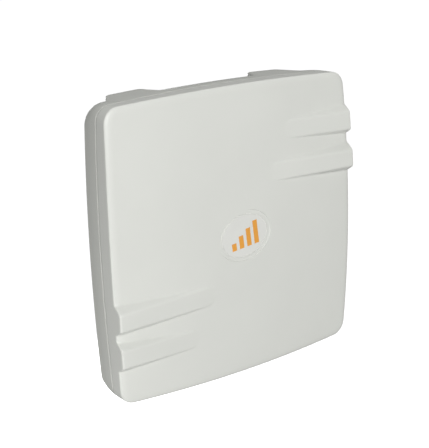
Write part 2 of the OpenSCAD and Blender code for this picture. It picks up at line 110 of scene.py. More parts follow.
BADGE_X = 2.5 * MM
BADGE_Z = -1.5 * MM
BADGE_TURN = math.radians(6)
BADGE_W = 53 * MM
BADGE_H = 40 * MM
BADGE_RIM = 3.4 * MM
BADGE_RECESS_FLOOR = FRONT + 0.9 * MM
RECESS_A = BADGE_W / 2 + BADGE_RIM
RECESS_B = BADGE_H / 2 + BADGE_RIM
RECESS_WALL_W = 0.45 * MM
RECESS_WALL_OUT = 0.1 * MM

# Ribs, in millimetres: tip x, tip z, tip width, end z, end width
RIBS = [
    (55, 87.5, 16, 86, 28),
    (37, 51, 16, 50, 28),
    (-34, -50, 17, -50, 28),
    (-53, -87, 16, -84, 28),
]
RIB_TIP_RISE = 0.3 * MM
RIB_END_RISE = 7.6 * MM
RIB_TIP_ROUND = 6 * MM
RIB_UPPER_SLOPE = 1.0
RIB_LOWER_SLOPE = 1.45
RIB_TIP_SLOPE = 0.08
RIB_CREST_SOFTNESS = 1.6 * MM
RIB_FOOT_SOFTNESS = 0.6 * MM
CRISP_RISE = 4 * MM
LOWER_RIB_BAND = [-103 * MM, -35 * MM]
UPPER_RIB_BAND = [33 * MM, 101 * MM]

# Spacing of the shells' grid lines, and the parts of a rounded corner
PLAIN_STEP = 1.5 * MM
EDGE_STEP = 1.2 * MM
RIB_STEP = 0.75 * MM
ARC_PARTS = 6

# Hardware: a thread's points and depth per pitch, a hexagon face's share of its width, and play on a rod
THREAD_PARTS = 8
THREAD_DEPTH = 0.55
HEX_RIM = 0.96
NUT_PLAY = 0.05 * MM
WASHER_PLAY = 0.2 * MM


# ---------- the bowed square ----------


class Outline:
    """A square with bowed sides and round corners, pulled in by inset.

    Each side is an arc whose centre lies on the other side of the middle, at a distance of behind.
    """

    def __init__(self, inset, radius):
        self.side_r = SIDE_R - inset
        self.behind = SIDE_R - HALF
        self.radius = radius
        to_corner = self.side_r - radius
        self.centre = (math.sqrt(2 * to_corner**2 - self.behind**2) - self.behind) / 2
        self.corner = self.centre + radius * math.sqrt(0.5)
        self.tangent = self.side_r * math.sin(math.atan2(self.centre, self.centre + self.behind))

    def reach(self, along):
        """Distance from the middle out to a side, at a distance along it."""
        t = np.minimum(np.abs(along), self.corner)
        side = np.sqrt(self.side_r**2 - t**2) - self.behind
        corner = self.centre + np.sqrt(np.maximum(self.radius**2 - (t - self.centre) ** 2, 0))
        return np.where(t < self.tangent, side, corner)

    def outward(self, x, z):
        """Unit vectors that point out of the outline at its points."""
        px, pz = np.abs(x), np.abs(z)
        in_corner = np.hypot(px - self.centre, pz - self.centre) <= self.radius + 1e-7
        on_x = px >= pz
        from_x = np.where(in_corner, self.centre, np.where(on_x, -self.behind, 0))
        from_z = np.where(in_corner, self.centre, np.where(on_x, 0, -self.behind))
        nx, nz = px - from_x, pz - from_z
        length = np.hypot(nx, nz)
        return np.sign(x) * nx / length, np.sign(z) * nz / length

    def facing(self, nx, nz):
        """The outline's points whose outward unit vectors are given."""
        px, pz = np.abs(nx), np.abs(nz)
        turn = math.atan2(self.centre, self.centre + self.behind)
        on_x, on_z = np.arctan2(pz, px) < turn, np.arctan2(px, pz) < turn
        x = np.where(on_x, self.side_r * px - self.behind,
                     np.where(on_z, self.side_r * px, self.centre + self.radius * px))
        z = np.where(on_z, self.side_r * pz - self.behind,
                     np.where(on_x, self.side_r * pz, self.centre + self.radius * pz))
        return np.sign(nx) * x, np.sign(nz) * z

    def grid(self, us, vs, keep):
        """Points of a grid that fills the outline; its lines stay at x = u out to keep."""
        u, v = np.meshgrid(us, vs, indexing="ij")
        z = v / self.corner * self.reach(u)
        share = np.clip((np.abs(u) - keep) / (self.corner - keep), 0, 1)
        x = np.where(share > 0, np.sign(u) * (keep + (self.reach(v) - keep) * share), u)
        return x, z


def spread(limits, steps):
    """Positions from the first limit to the last, each stretch cut into equal parts near its step."""
    lines = [np.linspace(a, b, max(1, round((b - a) / s)) + 1)[:-1]
             for a, b, s in zip(limits[:-1], limits[1:], steps)]
    return np.append(np.concatenate(lines), limits[-1])


def mirrored(lines):
    """Positive positions, the same ones negative, and the middle."""
    lines = np.asarray(lines)
    lines = lines[lines > 1e-9]
    return np.concatenate([-lines[::-1], [0.0], lines])


# ---------- meshes ----------


class Shell:
    """Collects rings and grids of points, and the faces between them."""

    def __init__(self):
        self.points = []
        self.faces = []
        self.count = 0

    def add(self, x, y, z):
        """New points, as their numbers."""
        x, y, z = np.broadcast_arrays(x, y, z)
        self.points.append(np.stack([x.ravel(), y.ravel(), z.ravel()], 1))
        numbers = self.count + np.arange(x.size)
        self.count += x.size
        return numbers.reshape(x.shape)

    def quads(self, a, b, c, d):
        self.faces.extend(np.stack([a.ravel(), b.ravel(), c.ravel(), d.ravel()], 1).tolist())

    def fill(self, n):
        self.quads(n[:-1, :-1], n[1:, :-1], n[1:, 1:], n[:-1, 1:])

    def join(self, ring, other):
        self.quads(ring, np.roll(ring, -1), np.roll(other, -1), other)

    def cap(self, ring, centre):
        tip = self.add(*[np.array([c]) for c in centre])[0]
        for a, b in zip(ring, np.roll(ring, -1)):
            self.faces.append([a, b, tip])

    def build(self, name, sharp):
        mesh = bpy.data.meshes.new(name)
        mesh.from_pydata(np.vstack(self.points).tolist(), [], self.faces)
        return as_piece(name, mesh, sharp)


def as_piece(name, mesh, sharp, weld=1e-7):
    """A closed mesh as an object: welded, facing outwards, smooth but for its sharp edges."""
    bm = bmesh.new()
    bm.from_mesh(mesh)
    bmesh.ops.remove_doubles(bm, verts=bm.verts, dist=weld)
    bmesh.ops.dissolve_degenerate(bm, edges=bm.edges, dist=weld)
    bmesh.ops.recalc_face_normals(bm, faces=bm.faces)
    bm.to_mesh(mesh)
    bm.free()
    mesh.shade_smooth()
    mesh.set_sharp_from_angle(angle=math.radians(sharp))
    piece = bpy.data.objects.new(name, mesh)
    bpy.context.scene.collection.objects.link(piece)
    return piece


def rim(grid):
    """The numbers round the edge of a grid, anticlockwise from the lowest point of its +X side."""
    return np.concatenate([grid[-1, :-1], grid[:0:-1, -1], grid[0, :0:-1], grid[:-1, 0]])


def soft_min(a, b, soft):
    """The smaller of two values, rounded off where they meet."""
    h = np.maximum(soft - np.abs(a - b), 0) / soft
    return np.minimum(a, b) - h * h * soft / 4


def soft_step(t):
    t = np.clip(t, 0, 1)
    return t * t * (3 - 2 * t)


# ---------- front cover ----------


def dome(x, z):
    return FRONT + DOME_R - np.sqrt(DOME_R**2 - x * x - z * z)


def rib_rise(x, z, rib):
    """How far one rib stands above the dome."""
    tip_x, tip_z, tip_w, end_z, end_w = [v * MM for v in rib]
    out = np.sign(tip_x) * x - abs(tip_x)
    run = out / (HALF - abs(tip_x))
    middle = tip_z + (end_z - tip_z) * run
    short = np.clip(RIB_TIP_ROUND - out, 0, RIB_TIP_ROUND)
    half_w = (tip_w + (end_w - tip_w) * run) / 2
    half_w = half_w - RIB_TIP_ROUND + np.sqrt(RIB_TIP_ROUND**2 - short**2)
    top = RIB_TIP_RISE + (RIB_END_RISE - RIB_TIP_RISE) * run
    upper = (middle + half_w - z) * RIB_UPPER_SLOPE
    lower = (z - middle + half_w) * RIB_LOWER_SLOPE
    soft = np.clip(top * 0.6, 0.3 * MM, RIB_CREST_SOFTNESS)
    height = soft_min(soft_min(upper, lower, soft), soft_min(top, out * RIB_TIP_SLOPE, soft), soft)
    return -soft_min(-height, np.zeros_like(height), RIB_FOOT_SOFTNESS)


def ribs_rise(x, z):
    """How far the ribs stand above the dome; they never overlap."""
    return sum(rib_rise(x, z, rib) for rib in RIBS)


def cover_front(x, z):
    """Depth of the cover's front face, ribs and badge recess included."""
    y = dome(x, z) - ribs_rise(x, z)
    along, across = turned_about_badge(x - BADGE_X, z - BADGE_Z, -BADGE_TURN)
    far = np.hypot(along / RECESS_A, across / RECESS_B)
    inside = soft_step((1 + RECESS_WALL_OUT / RECESS_A - far) * RECESS_A / RECESS_WALL_W)
    return y + (BADGE_RECESS_FLOOR - y) * inside


def turned_about_badge(along, across, turn):
    """Offsets from the badge's middle, turned anticlockwise."""
    return (along * math.cos(turn) - across * math.sin(turn),
            along * math.sin(turn) + across * math.cos(turn))


def round_badge(x, z, us, vs, scale):
    """Bends the grid's lines round the badge, so that its recess has an even, oval wall."""
    u, v = np.meshgrid(us, vs, indexing="ij")
    du, dv = (u - BADGE_X) / RECESS_A, (v * scale - BADGE_Z) / RECESS_B
    far = np.maximum(np.abs(du), np.abs(dv))
    safe = np.maximum(far, 1e-9)
    wide = np.abs(du) >= np.abs(dv)
    lean = np.where(wide, dv, du) / safe * math.pi / 4
    ahead, aside = np.cos(lean) * far, np.sin(lean) * far
    oval_x, oval_z = turned_about_badge(np.where(wide, np.sign(du) * ahead, aside) * RECESS_A,
                                        np.where(wide, aside, np.sign(dv) * ahead) * RECESS_B, BADGE_TURN)
    bent_to, fade = 1.5, 0.4
    share = soft_step((bent_to - far) / fade)
    return x + (BADGE_X + oval_x - x) * share, z + (BADGE_Z + oval_z - z) * share


def badge_lines(middle, half):
    """Grid lines across the badge's recess, close together at its wall."""
    wall = half * (1 + np.array([-0.6, -0.35, -0.2, -0.05, 0.1, 0.4]) * MM / RECESS_A)
    floor_step = 1.8 * MM
    floor = spread([-wall[0], wall[0]], [floor_step])[1:-1]
    return middle + np.concatenate([-wall[::-1], floor, wall])


def cover_lines(edge):
    """Grid lines of the cover: close together over the ribs and at the badge's wall."""
    scale = edge.reach(0) / edge.corner
    us = badge_lines(BADGE_X, RECESS_A)
    us = np.concatenate([
        spread([-edge.corner, us[0]], [PLAIN_STEP])[:-1],
        us,
        spread([us[-1], edge.corner], [PLAIN_STEP])[1:],
    ])
    vs = badge_lines(BADGE_Z, RECESS_B) / scale
    vs = np.concatenate([
        spread([-edge.corner, *LOWER_RIB_BAND, vs[0]], [EDGE_STEP, RIB_STEP, PLAIN_STEP])[:-1],
        vs,
        spread([vs[-1], *UPPER_RIB_BAND, edge.corner], [PLAIN_STEP, RIB_STEP, EDGE_STEP])[1:],
    ])
    return us, vs, scale


def front_cover():
    """Domed front, ribs, rounded rim, skirt and seam edge, closed with a plain wall inside."""
    edge = Outline(COVER_EDGE_W, COVER_CORNER_R - COVER_EDGE_W)
    us, vs, scale = cover_lines(edge)
    straight_to = 100 * MM
    x, z = edge.grid(us, vs, straight_to)
    x, z = round_badge(x, z, us, vs, scale)
    shell = Shell()
    face = shell.add(x, cover_front(x, z), z)
    shell.fill(face)
    ring = rim(face)
    edge_x, edge_z = x.ravel()[ring], z.ravel()[ring]
    out_x, out_z = edge.outward(edge_x, edge_z)

    def ring_at(inset, y):
        step = COVER_EDGE_W - inset
        return shell.add(edge_x + out_x * step, y, edge_z + out_z * step)

    def front_at(inset):
        step = COVER_EDGE_W - inset
        return cover_front(edge_x + out_x * step, edge_z + out_z * step)

    skirt_top = front_at(0) + COVER_EDGE_DEPTH
    skirt_end = SEAM - SEAM_EDGE_R
    # The rounded edge is crisper where a rib runs off the side
    rib_end = ribs_rise(edge_x + out_x * COVER_EDGE_W, edge_z + out_z * COVER_EDGE_W)
    crisp = 1 + 2 * soft_step(rib_end / CRISP_RISE)
    for t in np.radians(np.linspace(0, 90, 13)[1:]):
        inset = COVER_EDGE_W * (1 - math.sin(t))
        new = ring_at(inset, front_at(inset) + COVER_EDGE_DEPTH * (1 - math.cos(t)) ** crisp)
        shell.join(ring, new)
        ring = new
    for share in np.linspace(0, 1, 7)[1:]:
        new = ring_at(0, skirt_top + (skirt_end - skirt_top) * share)
        shell.join(ring, new)
        ring = new
    inner = [(SEAM_EDGE_R * (1 - math.cos(t)), skirt_end + SEAM_EDGE_R * math.sin(t))
             for t in np.radians([30, 60, 90])]
    inner += [(WALL, SEAM), (WALL, LEDGE), (LEDGE_INSET, LEDGE)]
    for inset, y in inner:
        new = ring_at(inset, y)
        shell.join(ring, new)
        ring = new
    close_inside(shell, ring, lambda px, pz: dome(px, pz) + WALL)
    return shell.build("cover_shell", sharp=50)


def close_inside(shell, ring, depth):
    """Closes a shell's inside with rings that shrink towards the middle."""
    points = np.vstack(shell.points)[ring]
    for share in [1, 0.75, 0.5, 0.25]:
        px, pz = points[:, 0] * share, points[:, 2] * share
        new = shell.add(px, depth(px, pz), pz)
        shell.join(ring, new)
        ring = new
    zero = np.zeros(1)
    shell.cap(ring, (0, float(depth(zero, zero)[0]), 0))


# ---------- rear housing ----------


def rounded(points, radii):
    """An open line with its corners rounded: its positions, and its unit normals to the left."""
    where, normals = [], []
    points = [np.array(p, float) for p in points]

    def left_of(a, b):
        d = (b - a) / np.linalg.norm(b - a)
        return np.array([-d[1], d[0]])

    where.append(points[0])
    normals.append(left_of(points[0], points[1]))
    for before, corner, after, r in zip(points[:-2], points[1:-1], points[2:], radii):
        n0, n1 = left_of(before, corner), left_of(corner, after)
        a0, a1 = math.atan2(n0[1], n0[0]), math.atan2(n1[1], n1[0])
        bend = (a1 - a0 + math.pi) % (2 * math.pi) - math.pi
        sign = -1 if bend < 0 else 1
        centre = corner + sign * r / math.cos(bend / 2) * (n0 + n1) / np.linalg.norm(n0 + n1)
        for i in range(ARC_PARTS + 1):
            a = a0 + bend * i / ARC_PARTS
            n = np.array([math.cos(a), math.sin(a)])
            where.append(centre - sign * r * n)
            normals.append(n)
    where.append(points[-1])
    normals.append(left_of(points[-2], points[-1]))
    return np.array(where), np.array(normals)


def rail_section(end):
    """Half of the housing's rear face, from the middle out: points of x and depth, and their normals."""
    corners = [
        (0, BACK),
        (RAIL_FOOT_IN, BACK),
        (RAIL_FOOT_IN + RAIL_LEAN_IN, RAIL_BACK),
        (RAIL_FOOT_OUT - RAIL_LEAN_OUT, RAIL_BACK),
        (RAIL_FOOT_OUT, BACK),
        (end, BACK),
    ]
    where, normals = rounded(corners, [RAIL_FOOT_R, RAIL_EDGE_R, RAIL_EDGE_R, RAIL_FOOT_R])
    longest = 5 * MM
    line, leans = [], []
    for i in range(len(where) - 1):
        length = np.linalg.norm(where[i + 1] - where[i])
        parts = max(1, round(length / longest))
        for j in range(parts):
            t = j / parts
            line.append(where[i] + (where[i + 1] - where[i]) * t)
            n = normals[i] + (normals[i + 1] - normals[i]) * t
            leans.append(n / np.linalg.norm(n))
    line.append(where[-1])
    leans.append(normals[-1])
    return np.array(line), np.array(leans)


def rear_housing():
    """Tray with two full-height rails, a rounded rear rim, a lip inside the cover, and its screw holes."""
    edge = Outline(HOUSING_DRAFT + HOUSING_EDGE_R, HOUSING_REAR_CORNER_R - HOUSING_EDGE_R)
    mouth = Outline(0, HOUSING_CORNER_R)
    section, normals = rail_section(edge.corner)
    half_u = section[:, 0]
    us = np.concatenate([-half_u[:0:-1], half_u])
    depth = np.concatenate([section[:0:-1, 1], section[:, 1]])
    lean = np.concatenate([-normals[:0:-1, 0], normals[:, 0]])
    rise = np.concatenate([normals[:0:-1, 1], normals[:, 1]])
    vs = mirrored(spread([0, 112 * MM, edge.corner], [4 * MM, EDGE_STEP]))
    x, z = edge.grid(us, vs, RAIL_FOOT_OUT + 2 * MM)
    shell = Shell()
    face = shell.add(x, np.repeat(depth[:, None], len(vs), 1), z)
    shell.fill(face)
    ring = rim(face)
    column = ring // len(vs)
    edge_x, edge_z = x.ravel()[ring], z.ravel()[ring]
    out_x, out_z = edge.outward(edge_x, edge_z)
    mouth_x, mouth_z = mouth.facing(out_x, out_z)
    edge_y, lean_x, lean_y = depth[column], lean[column], rise[column]

    def ring_at(inset, y, shrink, share=1.0):
        """A ring between the rear outline, share 0, and the outline at the seam, share 1."""
        rear_x = edge_x + out_x * (HOUSING_EDGE_R - inset)
        rear_z = edge_z + out_z * (HOUSING_EDGE_R - inset)
        x = rear_x + (mouth_x - out_x * inset - rear_x) * share
        z = rear_z + (mouth_z - out_z * inset - rear_z) * share
        return shell.add(x - lean_x * shrink, y, z)

    for t in np.radians(np.linspace(0, 90, 9)[1:]):
        shrink = HOUSING_EDGE_R * (1 - math.cos(t))
        new = ring_at(HOUSING_EDGE_R * (1 - math.sin(t)), edge_y - lean_y * shrink, shrink, 0)
        shell.join(ring, new)
        ring = new
    wall_top = edge_y - lean_y * HOUSING_EDGE_R
    wall_end = SEAM + HOUSING_CHAMFER
    for share in np.linspace(0, 1, 9)[1:]:
        new = ring_at(0, wall_top + (wall_end - wall_top) * share, HOUSING_EDGE_R, 1 - (1 - share) ** 2)
        shell.join(ring, new)
        ring = new
    lip_in = LIP_INSET + LIP_W
    room = HOUSING_DRAFT + WALL
    floor = BACK - WALL
    inner = [(HOUSING_CHAMFER, SEAM), (LIP_INSET, SEAM), (LIP_INSET, LIP_FRONT),
             (lip_in, LIP_FRONT), (lip_in, LIP_BACK), (room, LIP_BACK), (room, floor)]
    for inset, y in inner:
        new = ring_at(inset, y, HOUSING_EDGE_R)
        shell.join(ring, new)
        ring = new
    close_inside(shell, ring, lambda px, pz: np.full_like(px, floor))
    tray = shell.build("housing_shell", sharp=32)
    drill(tray, housing_holes())
    return tray


def cover_screw_places():
    sides = [(sx * COVER_SCREW_X, z) for sx in (-1, 1) for z in COVER_SCREW_ZS]
    return sides + [(0, -COVER_SCREW_END_Z), (0, COVER_SCREW_END_Z)]


def bracket_screw_places():
    return [(sx * BRACKET_SCREW_X, sz * BRACKET_SCREW_Z) for sx in (-1, 1) for sz in (-1, 1)]


def housing_holes():
    """Cutters for the cover screws' counterbores, the socket's hole and the inserts' holes."""
    floor = BACK - COUNTERBORE_DEPTH
    through = BACK - 5 * MM
    clear = BACK + 1 * MM
    flare = 0.4 * MM
    sunk = [(floor, 0), (floor, COUNTERBORE_R), (BACK - flare, COUNTERBORE_R),
            (BACK, COUNTERBORE_R + flare), (clear, COUNTERBORE_R + flare + 1 * MM), (clear, 0)]
    holes = [turned("hole", sunk, "y", place, 48) for place in cover_screw_places()]
    inserts = [(INSERT_HOLE_R, place) for place in bracket_screw_places()]
    for r, place in [(SOCKET_HOLE_R, (0, SOCKET_Z))] + inserts:
        straight = [(through, 0), (through, r), (clear, r), (clear, 0)]
        holes.append(turned("hole", straight, "y", place, 64))
    return holes


def drill(piece, cutters):
    """Cuts the cutters out of a piece, and removes them."""
    tools = cutters[0]
    with bpy.context.temp_override(active_object=tools, selected_editable_objects=cutters):
        bpy.ops.object.join()
    cut = piece.modifiers.new("holes", "BOOLEAN")
    cut.object = tools
    cut.operation = "DIFFERENCE"
    cut.solver = "EXACT"
    bake(piece)
    bpy.data.objects.remove(tools)
    piece.data.set_sharp_from_angle(angle=math.radians(32))


def bake(piece):
    """Turns a piece's modifiers into its mesh."""
    depsgraph = bpy.context.evaluated_depsgraph_get()
    mesh = bpy.data.meshes.new_from_object(piece.evaluated_get(depsgraph))
    piece.modifiers.clear()
    piece.data = mesh


# ---------- turned parts ----------


def hex_reach(across_flats, angle):
    """Distance from a hexagon's middle to its outline, with slightly rounded corners."""
    off = (angle + math.pi / 6) % (math.pi / 3) - math.pi / 6
    flat = across_flats / 2 / np.cos(off)
    return np.minimum(flat, across_flats / math.sqrt(3) * 0.985)


def thread_groove(along, angle, pitch):
    """How deep a thread is cut round a rod, from 0 at its crests to 1 at its roots."""
    phase = (along / pitch + angle / (2 * math.pi)) % 1
    return np.clip(1.25 - np.abs(phase * 2 - 1) * 1.5, 0, 1)


def turned(name, profile, axis, at, count=96):
    """A solid turned about an axis. Profile points are (along, radius), and a third value is either
    a hexagon's size across its flats or a thread's (pitch, depth)."""
    angle = np.arange(count) / count * 2 * math.pi
    shell = Shell()
    rings = []
    for point in profile:
        along, radius = point[0], point[1]
        reach = np.full(count, float(radius))
        if len(point) == 3 and not isinstance(point[2], tuple):
            reach = np.minimum(reach, hex_reach(point[2], angle))
        if len(point) == 3 and isinstance(point[2], tuple):
            pitch, depth = point[2]
            reach = reach - depth * thread_groove(along, angle, pitch)
        rings.append(shell.add(reach * np.cos(angle), reach * np.sin(angle), along))
    closed = profile[0][1] > 0
    for a, b in zip(rings, rings[1:] + rings[:1] if closed else rings[1:]):
        shell.join(a, b)
    turn = AXES[axis].to_4x4()
    place = Vector((0, at[0], at[1])) if axis == "x" else Vector((at[0], 0, at[1]))
    piece = shell.build(name, sharp=32)
    piece.data.transform(Matrix.Translation(place) @ turn)
    return piece


def threaded(start, end, radius, pitch, chamfer=0.6 * MM):
    """Profile points of a threaded stretch that ends in a chamfer."""
    count = max(2, round(abs(end - start) / pitch * THREAD_PARTS))
    depth = pitch * THREAD_DEPTH
    points = []
    for i in range(count + 1):
        along = start + (end - start) * i / count
        limit = radius - max(0, chamfer - abs(end - along)) * 0.9
        points.append((along, limit, (pitch, depth * min(1, i / 6))))
    return points


def joined(name, pieces):
    """Several pieces as one object."""
    with bpy.context.temp_override(active_object=pieces[0], selected_editable_objects=pieces):
        bpy.ops.object.join()
    pieces[0].name = name
    return pieces[0]


def hex_chamfer(face, inward, across_flats, rim=HEX_RIM):
    """Profile points from a hexagon's face down to its corners; inward is the way into the metal."""
    rim_r = across_flats / 2 * rim
    corner_r = across_flats / math.sqrt(3)
    fall = (corner_r - rim_r) * 0.58
    return [(face + inward * fall * s, rim_r + (corner_r - rim_r) * s, across_flats)
            for s in np.linspace(0, 1, 5)]


def nut_profile(low, high, across_flats, bore):
    """Hexagon nut, chamfered on both faces and at the bore."""
    sink = 0.5 * MM
    points = [(low + sink, bore), (low, bore + sink)]
    points += hex_chamfer(low, 1, across_flats)
    points += hex_chamfer(high, -1, across_flats)[::-1]
    points += [(high, bore + sink), (high - sink, bore)]
    return points


def washer_profile(low, high, bore, outer):
    soft = 0.2 * MM
    return [(low + soft, bore), (low, bore + soft), (low, outer - soft), (low + soft, outer),
            (high - soft, outer), (high, outer - soft), (high, bore + soft), (high - soft, bore)]


def hex_bolt(name, axis, at, head, shank, tip, across_flats, radius, pitch):
    """Bolt with a chamfered hexagon head that runs from head to shank, threaded up to tip."""
    rim_r = across_flats / 2 * HEX_RIM
    corner_r = across_flats / math.sqrt(3)
    thread_length = 22 * MM
    points = [(head, 0)]
    points += hex_chamfer(head, 1, across_flats)
    points += [(shank - 0.2 * MM, corner_r, across_flats), (shank, rim_r), (shank, radius)]
    points += threaded(tip - thread_length, tip, radius, pitch)
    points.append((tip, 0))
    return turned(name, points, axis, at)


def socket_screw(x, z, low, seat, top):
    """Cap screw with a hexagon socket: low is its tip, seat the underside of its head."""
    shank_r = 3 * MM
    head_r = 5.5 * MM
    tip_chamfer = 0.4 * MM
    under_head = 0.2 * MM
    soft = 0.5 * MM
    key = 4 * MM
    sink = top - 2.4 * MM
    points = [(low, 0), (low, shank_r - tip_chamfer), (low + tip_chamfer, shank_r), (seat, shank_r),
              (seat, head_r - under_head), (seat + under_head, head_r), (top - soft, head_r),
              (top - soft * 0.3, head_r - soft * 0.3), (top, head_r - soft),
              (top, key * 0.62, key * 1.12), (top - 0.25 * MM, key * 0.6, key), (sink, key * 0.6, key),
              (sink - 0.6 * MM, 0)]
    return turned("screw", points, "y", (x, z))


# ---------- materials ----------


class Graph:
    """Short names for the nodes that the materials use."""

    def __init__(self, name):
        self.material = bpy.data.materials.new(name)
        self.material.use_nodes = True
        self.nodes = self.material.node_tree.nodes
        self.links = self.material.node_tree.links
        self.shader = self.nodes["Principled BSDF"]
        self.place = self.nodes.new("ShaderNodeTexCoord").outputs["Object"]

    def noise(self, scale, detail=3.0, roughness=0.5, stretch=None):
        n = self.nodes.new("ShaderNodeTexNoise")
        n.inputs["Scale"].default_value = scale
        n.inputs["Detail"].default_value = detail
        n.inputs["Roughness"].default_value = roughness
        place = self.place
        if stretch is not None:
            m = self.nodes.new("ShaderNodeMapping")
            m.inputs["Scale"].default_value = stretch
            self.links.new(self.place, m.inputs["Vector"])
            place = m.outputs["Vector"]
        self.links.new(place, n.inputs["Vector"])
        return n.outputs["Fac"]

    def colours(self, fac, stops):
        """Base colour from a ramp of (position, colour) stops."""
        ramp = self.nodes.new("ShaderNodeValToRGB")
        ramp.color_ramp.elements[0].position = stops[0][0]
        ramp.color_ramp.elements[0].color = (*stops[0][1], 1)
        ramp.color_ramp.elements[1].position = stops[-1][0]
        ramp.color_ramp.elements[1].color = (*stops[-1][1], 1)
        for position, colour in stops[1:-1]:
            ramp.color_ramp.elements.new(position).color = (*colour, 1)
        self.links.new(fac, ramp.inputs["Fac"])
        self.links.new(ramp.outputs["Color"], self.shader.inputs["Base Color"])

    def roughness(self, fac, low, high):
        """Roughness from low to high over a noise's usual range."""
        span = self.nodes.new("ShaderNodeMapRange")
        span.inputs["From Min"].default_value = 0.3
        span.inputs["From Max"].default_value = 0.7
        span.inputs["To Min"].default_value = low
        span.inputs["To Max"].default_value = high
        self.links.new(fac, span.inputs["Value"])
        self.links.new(span.outputs["Result"], self.shader.inputs["Roughness"])

    def bump(self, fac, distance, strength=1.0, base=None):
        b = self.nodes.new("ShaderNodeBump")
        b.inputs["Distance"].default_value = distance
        b.inputs["Strength"].default_value = strength
        self.links.new(fac, b.inputs["Height"])
        if base is not None:
            self.links.new(base, b.inputs["Normal"])
        self.links.new(b.outputs["Normal"], self.shader.inputs["Normal"])
        return b.outputs["Normal"]

    def set(self, **values):
        for name, value in values.items():
            self.shader.inputs[name.replace("_", " ")].default_value = value


def shade(colour, by):
    """A colour made darker or lighter."""
    return tuple(min(1.0, c * by) for c in colour)


def moulded(name, colour, rough):
    """Satin moulded plastic: a fine spark-eroded texture and faint flow clouds."""
    g = Graph(name)
    g.colours(g.noise(14, 4), [(0.3, shade(colour, 0.985)), (0.7, shade(colour, 1.015))])
    g.roughness(g.noise(60, 3), rough - 0.04, rough + 0.05)
    grain = g.bump(g.noise(2400, 2), 0.012 * MM, 0.5)
    g.bump(g.noise(30, 2), 0.05 * MM, 0.15, grain)
    g.set(IOR=1.5)
    return g.material


def zinc(name, colour, rough, spangle, contrast):
    """Zinc-coated steel: a faint spangle, cloudy grey patches and a fine grain."""
    g = Graph(name)
    g.colours(g.noise(spangle, 5, 0.6), [
        (0.25, shade(colour, 1 - contrast)), (0.5, colour), (0.78, shade(colour, 1 + contrast))])
    g.roughness(g.noise(spangle * 2.3, 4), rough - 0.1, rough + 0.12)
    g.bump(g.noise(1500, 3), 0.02 * MM, 0.5)
    g.set(Metallic=0.92)
    return g.material


def drawn(name, colour, rough, stretch):
    """Metal with fine lines from rolling or turning."""
    g = Graph(name)
    g.colours(g.noise(120, 3), [(0.3, shade(colour, 0.93)), (0.7, shade(colour, 1.06))])
    g.roughness(g.noise(800, 3, stretch=stretch), rough - 0.06, rough + 0.1)
    g.bump(g.noise(2600, 2, stretch=stretch), 0.006 * MM, 0.5)
    g.set(Metallic=1.0)
    return g.material


def cast(name, colour):
    """Die-cast aluminium: pebbled and slightly cloudy."""
    g = Graph(name)
    g.colours(g.noise(90, 5), [(0.3, shade(colour, 0.86)), (0.7, shade(colour, 1.08))])
    g.roughness(g.noise(400, 4), 0.42, 0.62)
    g.bump(g.noise(1100, 4, 0.6), 0.05 * MM, 0.6)
    g.set(Metallic=0.85)
    return g.material


def soft_matter(name, colour, rough):
    """Rubber, nylon or PTFE: matt, with a fine grain."""
    g = Graph(name)
    g.colours(g.noise(200, 3), [(0.3, shade(colour, 0.9)), (0.7, shade(colour, 1.1))])
    g.roughness(g.noise(500, 3), rough - 0.06, rough + 0.06)
    g.bump(g.noise(1800, 3), 0.012 * MM, 0.4)
    return g.material


def laminate(name, colour):
    """Glass-fibre board: the weave shows faintly through the mask."""
    g = Graph(name)
    wave = g.nodes.new("ShaderNodeTexWave")
    wave.inputs["Scale"].default_value = 900
    wave.inputs["Distortion"].default_value = 1.5
    g.links.new(g.place, wave.inputs["Vector"])
    g.colours(g.noise(700, 2, stretch=(1, 1, 0.25)), [
        (0.3, shade(colour, 0.85)), (0.7, shade(colour, 1.15))])
    g.roughness(g.noise(300, 2), 0.3, 0.42)
    g.bump(wave.outputs["Fac"], 0.01 * MM, 0.3)
    return g.material


def printed_film(name, colour, rough):
    """Printed label film: nearly flat, with a faint orange peel."""
    g = Graph(name)
    g.colours(g.noise(40, 3), [(0.3, shade(colour, 0.975)), (0.7, shade(colour, 1.02))])
    g.roughness(g.noise(150, 2), rough - 0.03, rough + 0.04)
    g.bump(g.noise(900, 2), 0.008 * MM, 0.3)
    return g.material


FINISHES = [
    (moulded, "cover_plastic", (0.70, 0.71, 0.67), 0.42),
    (moulded, "housing_plastic", (0.645, 0.655, 0.615), 0.44),
    (soft_matter, "seal_rubber", (0.025, 0.025, 0.027), 0.7),
    (drawn, "stainless_steel", (0.60, 0.60, 0.60), 0.28, (1, 14, 1)),
    (printed_film, "label_film", (0.73, 0.735, 0.70), 0.34),
    (printed_film, "emblem_ink", (0.80, 0.36, 0.06), 0.34),
    (drawn, "sheet_aluminium", (0.78, 0.79, 0.80), 0.34, (1, 1, 30)),
    (laminate, "circuit_laminate", (0.05, 0.16, 0.08)),
    (drawn, "copper_foil", (0.85, 0.47, 0.28), 0.3, (1, 1, 12)),
    (soft_matter, "nylon", (0.78, 0.75, 0.66), 0.5),
    (drawn, "copper_jacket", (0.80, 0.44, 0.26), 0.32, (1, 1, 10)),
    (drawn, "nickel_plate", (0.66, 0.64, 0.60), 0.22, (1, 12, 1)),
    (soft_matter, "ptfe", (0.86, 0.86, 0.84), 0.45),
    (drawn, "gold_plate", (0.90, 0.66, 0.27), 0.2, (1, 8, 1)),
    (drawn, "brass", (0.78, 0.58, 0.26), 0.3, (1, 10, 1)),
    (zinc, "zinc_steel", (0.52, 0.53, 0.54), 0.46, 130, 0.08),
    (zinc, "zinc_bolt", (0.62, 0.63, 0.63), 0.34, 420, 0.06),
    (cast, "cast_aluminium", (0.55, 0.56, 0.56)),
]
MATERIALS = {name: make(name, *values) for make, name, *values in FINISHES}
SLOTS = {part["node"]: part["material_slot"] for part in frame["record"]["subparts"]}


